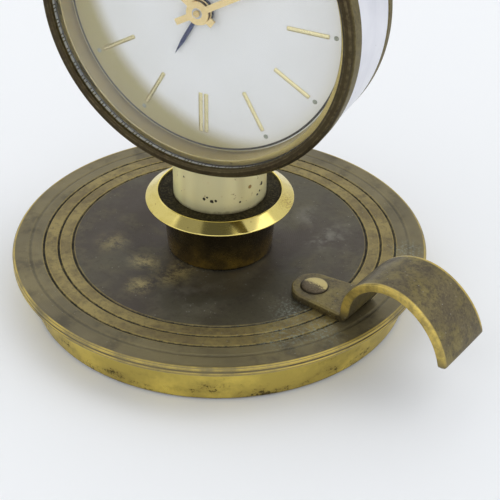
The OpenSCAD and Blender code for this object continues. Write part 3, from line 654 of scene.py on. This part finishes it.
def lume_paint():
    look = Look("aged_lume", 0.0, 0.7)
    grain = look.noise(0.2 * MM, 3, 0.7)
    look.set("Base Color", look.blend(look.step(grain, 0.35, 0.65), (0.4, 0.42, 0.34), (0.26, 0.28, 0.22)))
    look.bump(grain, 0.03 * MM, 0.7)
    return look.material


def felt_cloth():
    look = Look("green_felt", 0.0, 0.95)
    fibres = look.noise(0.35 * MM, 6, 0.8)
    cloud = look.noise(6 * MM, 3)
    tone = look.blend(fibres, (0.012, 0.035, 0.018), (0.045, 0.095, 0.055))
    look.set("Base Color", look.blend(look.times(cloud, 0.4), tone, (0.07, 0.1, 0.07)))
    look.set("Sheen Weight", 0.4)
    look.bump(fibres, 0.12 * MM, 0.9)
    return look.material


# ---- turned pieces

def dish():
    """Turned dish: beaded rim, three deep grooves with rounded bands between them, and a dropped middle."""
    top, under = DISH_TOP, DISH_UNDER
    hole = 2.2 * MM
    corners = [(hole, under, 0), (DISH_R - 0.35 * MM, under, 0.2 * MM),
               (DISH_R, under + 0.4 * MM, 0.25 * MM), (DISH_R, under + 0.85 * MM, 0.25 * MM),
               (DISH_R - 0.45 * MM, under + 1.2 * MM, 0.12 * MM), (DISH_R, under + 1.55 * MM, 0.25 * MM),
               (DISH_R, top - 0.4 * MM, 0.3 * MM), (DISH_R - 0.4 * MM, top, 0.3 * MM),
               (DISH_R - 1.2 * MM, top - 0.12 * MM, 0.3 * MM),
               (FAINT_GROOVE + 0.6 * MM, top - 0.03 * MM, 0.3 * MM),
               (FAINT_GROOVE, top - 0.16 * MM, 0.25 * MM),
               (FAINT_GROOVE - 0.6 * MM, top - 0.02 * MM, 0.3 * MM)]
    for outer, inner in ((GROOVES[2], GROOVES[1]), (GROOVES[1], GROOVES[0]), (GROOVES[0], None)):
        corners += [(outer + 0.34 * MM, top - 0.03 * MM, 0.2 * MM), (outer, top - 0.42 * MM, 0.1 * MM),
                    (outer - 0.34 * MM, top - 0.03 * MM, 0.2 * MM)]
        if inner:
            corners.append(((outer + inner) / 2, top, 1.5 * MM))
    for k in range(SLOPE_STEPS + 1):
        share = k / SLOPE_STEPS
        drop = (top - DISH_FLOOR) * (1 - math.cos(math.pi * share)) / 2
        corners.append((SLOPE_HIGH_R + (SLOPE_LOW_R - SLOPE_HIGH_R) * share, top - drop, 0))
    corners.append((hole, DISH_FLOOR, 0))
    made = lathe("dish", corners, "clock", "aged_brass", dish_metal(), sides=360, smooth=60)
    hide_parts("base_plate")


def foot():
    """Low foot wall that leans out a little towards the dish."""
    low, high, r_high = FOOT_LOW.z, FOOT_HIGH.z, FOOT_HIGH.x
    r_low = r_high - 0.5 * MM
    inner = r_low - 1.2 * MM
    corners = [(inner, low, 0.2 * MM), (r_low, low, 0.35 * MM), (r_high, high - 0.6 * MM, 0.4 * MM),
               (r_high - 0.15 * MM, high, 0.1 * MM), (inner, high, 0)]
    made = lathe("foot_wall", corners, "clock", "worn_brass", foot_metal(), sides=320)
    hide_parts("foot_ring")


def cup():
    """Cup that flares up to the collar, bored for the tube and for the rod below it."""
    low, seat = DISH_FLOOR, DISH_FLOOR + 1.5 * MM
    bore, hole = TUBE_R + TUBE_GAP, 2.1 * MM
    corners = [(hole, low, 0), (CUP_LOW_R - 0.25 * MM, low, 0.1 * MM),
               (CUP_LOW_R + 0.1 * MM, low + 0.5 * MM, 0.3 * MM),
               (CUP_LOW_R + 0.5 * MM, low + 6 * MM, 14 * MM), (CUP_R, CUP_TOP, 0.1 * MM),
               (bore, CUP_TOP, 0.1 * MM), (bore, seat, 0), (hole, seat, 0)]
    made = lathe("cup", corners, "clock", "aged_brass", cup_metal())
    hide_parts("candle_cup")


def collar():
    """Drip collar: undercut, sharp edge, polished bevel, thin lip, groove and a flat round the tube."""
    bore, lip, top, edge = TUBE_R + TUBE_GAP, COLLAR_FLAT_R, COLLAR_TOP, COLLAR_EDGE_Z
    flat = top - 0.33 * MM
    corners = [(bore, CUP_TOP, 0), (CUP_R + 1.2 * MM, CUP_TOP, 0.3 * MM),
               (COLLAR_R - 0.35 * MM, edge - 0.45 * MM, 0.25 * MM), (COLLAR_R, edge, 0.22 * MM),
               (lip, top, 0.18 * MM), (lip - 0.3 * MM, top - 0.02 * MM, 0.12 * MM),
               (lip - 0.45 * MM, top - 0.5 * MM, 0.1 * MM), (lip - 0.75 * MM, flat, 0.15 * MM),
               (bore, flat, 0.1 * MM)]
    made = lathe("collar", corners, "clock", "polished_brass", collar_metal())
    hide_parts("drip_collar")


def bezel():
    """Front bezel: crystal seat, inner lip, dark face and a rounded shoulder."""
    lip = DIAL_R + REHAUT_W
    inner = CASE_R - CASE_WALL
    front, back = BEZEL_FRONT, BEZEL_BACK
    corners = [(inner, back, 0), (BEZEL_R, back, 0.2 * MM), (BEZEL_R, front - 1.2 * MM, 0.7 * MM),
               (BEZEL_R - 0.7 * MM, front - 0.1 * MM, 0.5 * MM), (lip + 0.55 * MM, front, 0.2 * MM),
               (lip, front - 0.35 * MM, 0.1 * MM), (lip, CRYSTAL_FRONT, 0), (CRYSTAL_R, CRYSTAL_FRONT, 0),
               (CRYSTAL_R, CRYSTAL_BACK, 0), (CRYSTAL_R, back, 0)]
    made = lathe("bezel", corners, "clock", "aged_brass", bezel_metal("dark_bezel_brass"), place=on_head,
                 sides=320)
    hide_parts("front_bezel")


def rim():
    """Rear rim: a dark band with a bead where it meets the silver drum."""
    r, back, front = CASE_R, RIM_BACK, CASE_BACK
    corners = [(COVER_R, back, 0.1 * MM), (r - 0.5 * MM, back, 0.3 * MM), (r, back + 0.6 * MM, 0.3 * MM),
               (r, front - 0.7 * MM, 0.15 * MM), (r - 0.25 * MM, front - 0.5 * MM, 0.1 * MM),
               (r, front - 0.3 * MM, 0.12 * MM), (r, front, 0.08 * MM), (COVER_R, front, 0)]
    made = lathe("rear_band", corners, "clock", "aged_brass", bezel_metal("dark_rim_brass"), place=on_head,
                 sides=320)
    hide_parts("rear_rim")


def drum():
    """Drum wall with an inner flange that the dial sits on."""
    r, back, front = CASE_R, CASE_BACK, BEZEL_BACK
    inner = r - CASE_WALL
    seat = DIAL_FRONT - DIAL_T
    corners = [(inner, back, 0), (r, back, 0.15 * MM), (r, front, 0.15 * MM), (inner, front, 0),
               (inner, seat, 0), (FLANGE_R, seat, 0), (FLANGE_R, seat - FLANGE_T, 0),
               (inner, seat - FLANGE_T, 0)]
    made = lathe("drum_wall", corners, "clock", "satin_silver", drum_metal(), place=on_head, sides=320)
    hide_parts("drum_case")


def crystal():
    """Flat crystal. Like the rivet it keeps a hole too small to see, so that the sweep has no poles."""
    r, back, front = CRYSTAL_R, CRYSTAL_BACK, CRYSTAL_FRONT
    corners = [(PIN_HOLE_R, back, 0), (r, back, 0), (r, front, 0), (r * 0.7, front, 0),
               (PIN_HOLE_R, front, 0)]
    made = lathe("crystal_glass", corners, "clock", "clear_glass", glass(), place=on_head)
    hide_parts("crystal")


def rehaut(material):
    """Sloping wall between the dial and the crystal."""
    r, back, front = DIAL_R, DIAL_FRONT, CRYSTAL_BACK
    outer = r + REHAUT_W
    corners = [(r, back, 0.1 * MM), (outer, back, 0), (outer, front, 0), (r + 0.25 * MM, front, 0.2 * MM)]
    made = lathe("rehaut_wall", corners, "clock", "gilt_trim", material, place=on_head)
    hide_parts("rehaut_ring")


def dial():
    r, back, front = PLATE_R, DIAL_FRONT - DIAL_T, DIAL_FRONT
    hole = 2.6 * MM
    corners = [(hole, back, 0), (r, back, 0), (r, front, 0), (DIAL_R * 0.9, front, 0),
               (DIAL_R * 0.5, front, 0), (hole, front, 0.1 * MM)]
    made = lathe("dial_disc", corners, "clock", "dial_silver", dial_face(), place=on_head)
    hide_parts("dial_plate")


def hour_ray(hour):
    """Direction of an hour, from the centre of the dial."""
    angle = math.radians(90 - 30 * hour)
    return Vector((math.cos(angle), math.sin(angle)))


def bar(along, side, shift):
    """Points of a slim applied bar with a ridged top. It lies along a ray from the dial's centre."""
    half_w, height, taper = 0.45 * MM, 0.35 * MM, 0.15 * MM
    ridge = half_w * 0.35
    shoulder = DIAL_FRONT + height * 0.55
    section = ((-half_w, DIAL_FRONT), (half_w, DIAL_FRONT), (half_w, shoulder),
               (ridge, DIAL_FRONT + height), (-ridge, DIAL_FRONT + height), (-half_w, shoulder))
    near, far = BAR_END_R - BAR_LENGTH, BAR_END_R
    points = []
    for at, squeeze in ((near, 0.8), (near + taper, 1.0), (far - taper, 1.0), (far, 0.8)):
        for across, z in section:
            flat = along * at + side * (across * squeeze) + side * shift
            points.append(on_head(flat.x, flat.y, DIAL_FRONT + (z - DIAL_FRONT) * squeeze))
    return points


def batons(material):
    """Applied hour bars: one at each hour, two side by side at twelve and six."""
    points, faces = [], []
    for hour in range(1, 13):
        along = hour_ray(hour)
        side = Vector((-along.y, along.x))
        for shift in ((-BAR_PAIR, BAR_PAIR) if hour % 6 == 0 else (0.0,)):
            faces += skin(len(points), 4, 6)
            points += bar(along, side, shift)
    made = piece("hour_bars", points, faces, [0.0] * len(points), "clock", "gilt_trim", material, 20)
    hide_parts("hour_batons")


def dots():
    """Small raised dots of luminous paint outside the bars."""
    points, faces = [], []
    sides, levels, size, height = 20, 5, 0.55 * MM, 0.15 * MM
    for hour in range(1, 13):
        if hour % 6 == 0:
            continue
        centre = hour_ray(hour) * DOT_RING_R
        faces += skin(len(points), levels, sides)
        for level in range(levels):
            tilt = 0.5 * math.pi * level / (levels - 1)
            r = size * max(0.02, math.cos(tilt))
            for k in range(sides):
                turn = 2 * math.pi * k / sides
                points.append(on_head(centre.x + r * math.cos(turn), centre.y + r * math.sin(turn),
                                      DIAL_FRONT + height * math.sin(tilt)))
    made = piece("lume_spots", points, faces, [0.0] * len(points), "clock", "lume", lume_paint())
    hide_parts("lume_dots")


# ---- handle

HANDLE_ANGLE = math.radians(-10.5)
HANDLE_FRONT = 4.1 * MM
STRIP_T = 2.0 * MM
RIVET = (31.3 * MM, -0.8 * MM)
ROOT_W, BEND_W, TIP_W = 10.4 * MM, 12.4 * MM, 16.5 * MM
ROOT_END = RIVET[0] - ROOT_W / 2
RISER_X = 41.8 * MM
FOLD_R = 1.6 * MM
EDGE_R = 0.38 * MM
FLAT_STEPS, FOLD_STEPS, ARC_STEPS, FACE_STEPS = 40, 11, 40, 13
RISE_R, FALL_R = 12.7 * MM, 17.6 * MM
JOIN_ANGLE, TIP_ANGLE = math.radians(67), math.radians(12)
RISE_AT = Vector((RISER_X + RISE_R, DISH_TOP + 2.5 * MM))
FALL_AT = RISE_AT - Vector((math.cos(JOIN_ANGLE), math.sin(JOIN_ANGLE))) * (FALL_R - RISE_R)


def on_strip(along, across, up):
    """A point given along the finger strip, across it and above the table."""
    y = across - HANDLE_FRONT
    c, s = math.cos(HANDLE_ANGLE), math.sin(HANDLE_ANGLE)
    return (along * c - y * s, along * s + y * c, up)


def on_rivet(x, y, z):
    """A point given from the rivet's axis, z above the table."""
    return on_strip(RIVET[0] + x, RIVET[1] + y, z)


def strip_path():
    """Middle line of the strip as (along, up, direction of its outer face), from the root to the tip."""
    path = []
    middle = DISH_TOP + STRIP_T / 2
    fold_at = Vector((RISER_X + STRIP_T / 2 - FOLD_R, middle + FOLD_R))
    for k in range(FLAT_STEPS + 1):
        even = k / FLAT_STEPS
        share = (1 - math.cos(math.pi * even)) / 2 if even < 0.5 else even
        path.append((ROOT_END + (fold_at.x - ROOT_END) * (0.5 * share + 0.5 * even), middle, math.pi / 2))
    for k in range(1, FOLD_STEPS + 1):
        angle = -math.pi / 2 + (math.pi / 2) * k / FOLD_STEPS
        path.append((fold_at.x + FOLD_R * math.cos(angle), fold_at.y + FOLD_R * math.sin(angle),
                     angle + math.pi))
    for centre, radius, first, last in ((RISE_AT, RISE_R, math.pi, JOIN_ANGLE),
                                        (FALL_AT, FALL_R, JOIN_ANGLE, TIP_ANGLE)):
        for k in range(1, ARC_STEPS + 1):
            angle = first + (last - first) * k / ARC_STEPS
            spoke = Vector((math.cos(angle), math.sin(angle))) * (radius - STRIP_T / 2)
            path.append((*(centre + spoke), angle))
    return path


def strip_edges(run, total):
    """Where the strip's two edges are, across it, at a run of its length from the root."""
    flat = RISER_X - ROOT_END
    if run < ROOT_W / 2:
        half = math.sqrt(max(0.0, (ROOT_W / 2) ** 2 - (ROOT_W / 2 - run) ** 2))
        half = max(half, 0.6 * MM)
        return RIVET[1] - half, RIVET[1] + half
    if run < flat:
        share = max(0.0, (run - ROOT_W / 2) / (flat - ROOT_W / 2))
        bend = BEND_W / 2 * share
        return (RIVET[1] - ROOT_W / 2) * (1 - share) - bend, (RIVET[1] + ROOT_W / 2) * (1 - share) + bend
    share = (run - flat) / (total - flat)
    half = (BEND_W * (1 - share) + TIP_W * share) / 2
    corner = max(0.0, 1.0 - (total - run) / (0.9 * MM))
    half -= 0.5 * MM * corner * corner
    return -half, half


def strip_section(half_w, thin):
    """Cross-section of the strip, as (across, out, wear): rounded edges and slightly crowned faces."""
    half_t = STRIP_T / 2 * thin
    edge_w, edge_t = min(EDGE_R, half_w * 0.5), EDGE_R * 0.9 * thin
    span = half_w - edge_w
    section = []
    for index, (side, face) in enumerate(((-1, -1), (1, -1), (1, 1), (-1, 1))):
        first = math.pi * (1 + 0.5 * index)
        for k in range(5):
            angle = first + 0.5 * math.pi * k / 4
            section.append((side * span + edge_w * math.cos(angle),
                            face * (half_t - edge_t) + edge_t * math.sin(angle), 1.0))
        if side != face:
            continue
        for k in range(FACE_STEPS):
            x = -face * span * (-1 + 2 * (k + 0.5) / FACE_STEPS)
            rubbed = max(0.0, 1 - (span - abs(x)) / (0.8 * MM)) * 0.6
            crown = 0.05 * MM * (1 - (x / max(span, 1e-6)) ** 2) * face
            section.append((x, face * half_t + crown, rubbed))
    return section


def handle():
    """The riveted finger strip: rounded root, tight fold, arch that widens to the tip, softened edges."""
    path = strip_path()
    lengths = [0.0]
    for a, b in zip(path, path[1:]):
        lengths.append(lengths[-1] + math.hypot(b[0] - a[0], b[1] - a[1]))
    total = lengths[-1]
    rings, wear = [], []
    for (along, up, facing), run in zip(path, lengths):
        low, high = strip_edges(run, total)
        end = min(run, total - run)
        at_end = end < EDGE_R
        thin = 0.55 + 0.45 * math.sqrt(max(0.0, 1 - (1 - end / EDGE_R) ** 2)) if at_end else 1.0
        out = Vector((math.cos(facing), math.sin(facing)))
        ring = []
        for x, y, rubbed in strip_section((high - low) / 2, thin):
            ring.append(on_strip(along + out.x * y, (low + high) / 2 + x, up + out.y * y))
            wear.append(1.0 if at_end else rubbed)
        rings.append(ring)
    made = loft("finger_strip", rings, wear, "clock", "worn_brass", strip_metal(), 50)
    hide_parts("handle_strip")


def rivet():
    """Low domed rivet head, nearly flush at its edge, and its shank and tail under the dish."""
    top = DISH_TOP + STRIP_T
    low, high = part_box("handle_rivet")
    head_r, edge, dome = 3.25 * MM, 0.1 * MM, high.z - top
    tail_r, shank_r, dome_steps = 2.4 * MM, 1.6 * MM, 9
    corners = [(PIN_HOLE_R, low.z, 0), (tail_r, low.z, 0.2 * MM), (tail_r, DISH_UNDER, 0.1 * MM),
               (shank_r, DISH_UNDER, 0), (shank_r, top, 0), (head_r, top, 0.02 * MM),
               (head_r, top + edge, 0.08 * MM)]
    for k in range(1, dome_steps):
        angle = 0.5 * math.pi * k / dome_steps
        corners.append((head_r * math.cos(angle), top + edge + (dome - edge) * math.sin(angle), 0))
    corners.append((PIN_HOLE_R, high.z, 0))
    made = lathe("rivet_head", corners, "clock", "worn_brass", rivet_metal(), on_rivet, 96, 5)
    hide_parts("handle_rivet")


# ---- CAD nodes that stay

def dress(material, *names):
    """Gives CAD nodes a material."""
    for name in names:
        node = NODES[name]
        node.data.materials.clear()
        node.data.materials.append(material)


def dress_frame():
    gilt = metal("polished_gilding", (0.86, 0.68, 0.34), (0.72, 0.52, 0.22), 0.2, 2 * MM, tarnish=0.3)
    brass = metal("machined_brass", (0.78, 0.6, 0.28), (0.6, 0.44, 0.18), 0.28, 1.5 * MM)
    steel = metal("ground_steel", (0.56, 0.57, 0.59), (0.42, 0.42, 0.44), 0.3, 1.0 * MM)
    blued = metal("blued_spring_steel", (0.05, 0.07, 0.17), (0.03, 0.03, 0.07), 0.25, 1.0 * MM)
    iron = metal("rough_iron", (0.06, 0.06, 0.065), (0.1, 0.06, 0.04), 0.6, 2 * MM, 0.1 * MM)
    dress(tube_metal(), "candle_tube")
    dress(felt_cloth(), "base_felt")
    dress(iron, "base_weight")
    dress(cover_metal(), "rear_cover")
    dress(gilt, "time_key", "alarm_key", "time_set_knob", "alarm_set_knob", "alarm_stop_plunger",
          "hour_hand", "minute_hand", "balance_wheel")
    dress(steel, "cover_screws", "regulator_lever", "tie_rod", "tie_nut", "tie_washer", "cannon_pinion",
          "alarm_set_arbor", "plate_screws", "escape_wheel", "pallet_lever", "balance_bearing",
          "time_arbor", "alarm_arbor", "alarm_star_wheel", "alarm_hammer")
    dress(blued, "alarm_hand", "hairspring", "time_mainspring", "alarm_mainspring")
    dress(brass, "front_plate", "back_plate", "plate_pillars", "centre_wheel", "third_wheel",
          "fourth_wheel", "hour_wheel", "alarm_wheel", "time_set_arbor", "time_barrel", "alarm_barrel",
          "gong_stud", "head_saddle")


# ---- camera, light, floor

CAMERA_AZIMUTH = math.radians(27.97)
CAMERA_ELEVATION = math.radians(35.81)
CAMERA_DISTANCE = 6.2775 * DISH_R
CAMERA_TURN = (math.radians(-1.358), math.radians(1.283), math.radians(0.271))
FOCAL_MM, SENSOR_MM = 90.64, 36
AIM = Vector((0, 0, 0.03))

# Strength of the sky behind the camera and behind the object, and its darker gaps: azimuth, rise and
# spread in degrees, and the share of the light that a gap leaves
ROOM_NEAR, ROOM_FAR = 1.2, 0.86
ROOM_GAPS = ((10, 77, 13, 0.12), (82, 62, 12, 0.4), (-150, 62, 9, 0.6))


def turned(vector, axis, angle):
    """A copy of a vector, turned about an axis."""
    out = vector.copy()
    out.rotate(Matrix.Rotation(angle, 3, axis))
    return out


def camera():
    """The photograph's camera: it looks at the origin, then turns by a small yaw, pitch and roll."""
    flat = CAMERA_DISTANCE * math.cos(CAMERA_ELEVATION)
    place = Vector((flat * math.sin(CAMERA_AZIMUTH), -flat * math.cos(CAMERA_AZIMUTH),
                    CAMERA_DISTANCE * math.sin(CAMERA_ELEVATION)))
    ahead = -place.normalized()
    right = ahead.cross(Vector((0, 0, 1))).normalized()
    up = right.cross(ahead)
    yaw, pitch, roll = CAMERA_TURN
    ahead, right = turned(ahead, up, yaw), turned(right, up, yaw)
    ahead, up = turned(ahead, right, pitch), turned(up, right, pitch)
    right, up = turned(right, ahead, roll), turned(up, ahead, roll)
    data = bpy.data.cameras.new("photo_camera")
    data.lens = FOCAL_MM
    data.sensor_width = SENSOR_MM
    data.clip_start = 0.01
    eye = bpy.data.objects.new("photo_camera", data)
    eye.matrix_world = Matrix((right, up, -ahead)).transposed().to_4x4()
    eye.location = place
    bpy.context.scene.collection.objects.link(eye)
    bpy.context.scene.camera = eye


def lamp(name, place, size, power):
    """A softbox aimed at the object."""
    data = bpy.data.lights.new(name, "AREA")
    data.shape = "RECTANGLE"
    data.size, data.size_y = size
    data.energy = power
    light = bpy.data.objects.new(name, data)
    light.location = place
    light.rotation_euler = (AIM - place).to_track_quat("-Z", "Y").to_euler()
    bpy.context.scene.collection.objects.link(light)


def toward(azimuth, distance, height):
    """A place round the object. Azimuth 0 is the camera's side, and 90 is to the camera's left."""
    angle = CAMERA_AZIMUTH - math.radians(azimuth)
    return Vector((distance * math.sin(angle), -distance * math.cos(angle), height))


def lights():
    """Soft white room: large softboxes, and a pale sky with darker gaps for the polished metal."""
    lamp("back_softbox", toward(160, 0.6, 0.85), (0.9, 0.7), 1.3)
    lamp("left_softbox", toward(75, 0.8, 0.6), (0.6, 0.7), 0.4)
    lamp("right_softbox", toward(-85, 0.6, 0.85), (0.6, 0.7), 1.3)
    world = bpy.data.worlds.new("room")
    world.use_nodes = True
    tree = world.node_tree
    back = tree.nodes["Background"]
    where = tree.nodes.new("ShaderNodeTexCoord").outputs["Generated"]

    def facing(place, low, high, to_low, to_high):
        dot = tree.nodes.new("ShaderNodeVectorMath")
        dot.operation = "DOT_PRODUCT"
        dot.inputs[1].default_value = place
        tree.links.new(where, dot.inputs[0])
        ramp = tree.nodes.new("ShaderNodeMapRange")
        ramp.interpolation_type = "SMOOTHSTEP"
        tree.links.new(dot.outputs["Value"], ramp.inputs[0])
        for i, v in enumerate((low, high, to_low, to_high)):
            ramp.inputs[i + 1].default_value = v
        return ramp.outputs[0]

    def product(a, b):
        made = tree.nodes.new("ShaderNodeMath")
        made.operation = "MULTIPLY"
        tree.links.new(a, made.inputs[0])
        tree.links.new(b, made.inputs[1])
        return made.outputs[0]

    glow = facing((*toward(180, 1.0, 0.0).xy, 0.2), -0.8, 0.6, ROOM_NEAR, ROOM_FAR)
    for azimuth, rise, spread, dim in ROOM_GAPS:
        aim = toward(azimuth, 1.0, math.tan(math.radians(rise))).normalized()
        glow = product(glow, facing(aim, math.cos(math.radians(spread * 1.2)),
                                    math.cos(math.radians(spread)), 1.0, dim))
    tree.links.new(glow, back.inputs["Strength"])
    back.inputs["Color"].default_value = (0.96, 0.98, 1.0, 1)
    bpy.context.scene.world = world


def floor():
    size, z = 3.0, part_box("base_felt")[0].z
    mesh = bpy.data.meshes.new("floor")
    mesh.from_pydata([(-size, -size, z), (size, -size, z), (size, size, z), (-size, size, z)], [],
                     [(0, 1, 2, 3)])
    look = Look("pale_floor", 0.0, 0.75)
    cloud = look.noise(0.2, 2)
    look.set("Base Color", look.blend(cloud, (0.86, 0.87, 0.885), (0.88, 0.885, 0.9)))
    look.set("Specular IOR Level", 0.2)
    mesh.materials.append(look.material)
    ground = bpy.data.objects.new("floor", mesh)
    bpy.context.scene.collection.objects.link(ground)


# ---- build

camera()
lights()
floor()
dish()
foot()
cup()
collar()
handle()
rivet()
drum()
bezel()
rim()
crystal()
gilding = metal("applied_gilding", (0.8, 0.72, 0.42), (0.72, 0.62, 0.32), 0.3, 1.5 * MM, tarnish=0.25)
wall_gilding = metal("rehaut_gilding", (0.62, 0.5, 0.2), (0.5, 0.4, 0.14), 0.42, 4 * MM, tarnish=0.5)
rehaut(wall_gilding)
dial()
batons(gilding)
dots()
dress_frame()
bpy.context.scene.view_settings.view_transform = "Standard"
